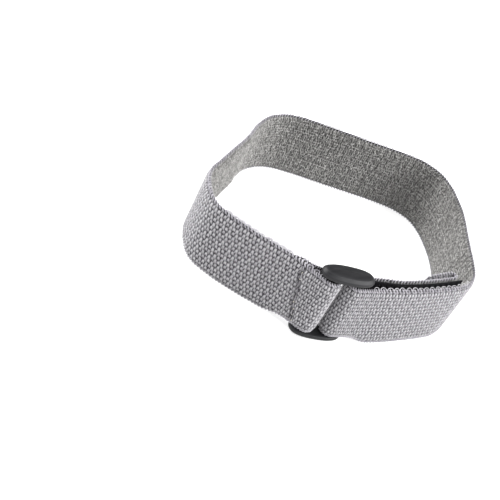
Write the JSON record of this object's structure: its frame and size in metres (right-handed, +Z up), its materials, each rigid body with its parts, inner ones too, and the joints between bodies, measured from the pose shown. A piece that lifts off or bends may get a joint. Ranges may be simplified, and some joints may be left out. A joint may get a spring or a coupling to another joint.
{
  "type": "esd wrist strap",
  "caption": "Elastic knitted wrist strap with a conductive lining, closed by a moulded slider ring and a hook strip that holds the tail; it bleeds static charge from the wearer.",
  "frame": {"origin": "centre of the strap's outline in plan, on the surface that the lower edge of the tape rests on", "axes": "+X towards the right-hand end of the loop, the long way across it; +Y from the front panel with the slider ring towards the back wall; +Z up, along the width of the tape"},
  "size_m": [0.0836, 0.0692, 0.0226],
  "materials": {
    "knit_face": "matte ribbed knit of lilac-grey yarn",
    "conductive_lining": "soft looped knit with silver yarn",
    "elastic_core": "matte",
    "thread": "twisted thread",
    "dark_thread": "twisted thread",
    "ring_plastic": "fine satin moulding",
    "hook_strip": "matte black woven base with moulded hooks"
  },
  "bodies": {
    "loop": {"face_fabric": "knit_face", "conductive_lining": "conductive_lining", "elastic_cores": "elastic_core", "anchor_fold": "knit_face", "anchor_stitching": "thread", "adjuster_fold": "knit_face"},
    "ring": {"slider_ring": "ring_plastic"},
    "tail": {"tail_fold": "knit_face", "tail_strip": "knit_face", "pull_tab": "knit_face", "tab_stitching": "thread", "hook_base": "hook_strip", "hook_pile": "hook_strip", "hook_stitching": "dark_thread"}
  },
  "joints": [
    {"name": "ring_swivel", "type": "hinge", "parent": "loop", "child": "ring", "pos_m": [-0.02182, -0.02557, 0.0113], "axis": [0, 0, 1], "range_deg": [-2.5, 2.5]},
    {"name": "tail_peel", "type": "hinge", "parent": "loop", "child": "tail", "pos_m": [-0.01558, -0.02803, 0.0113], "axis": [0, 0, 1], "range_deg": [0, 85], "deforming": ["tail_fold"]}
  ]
}
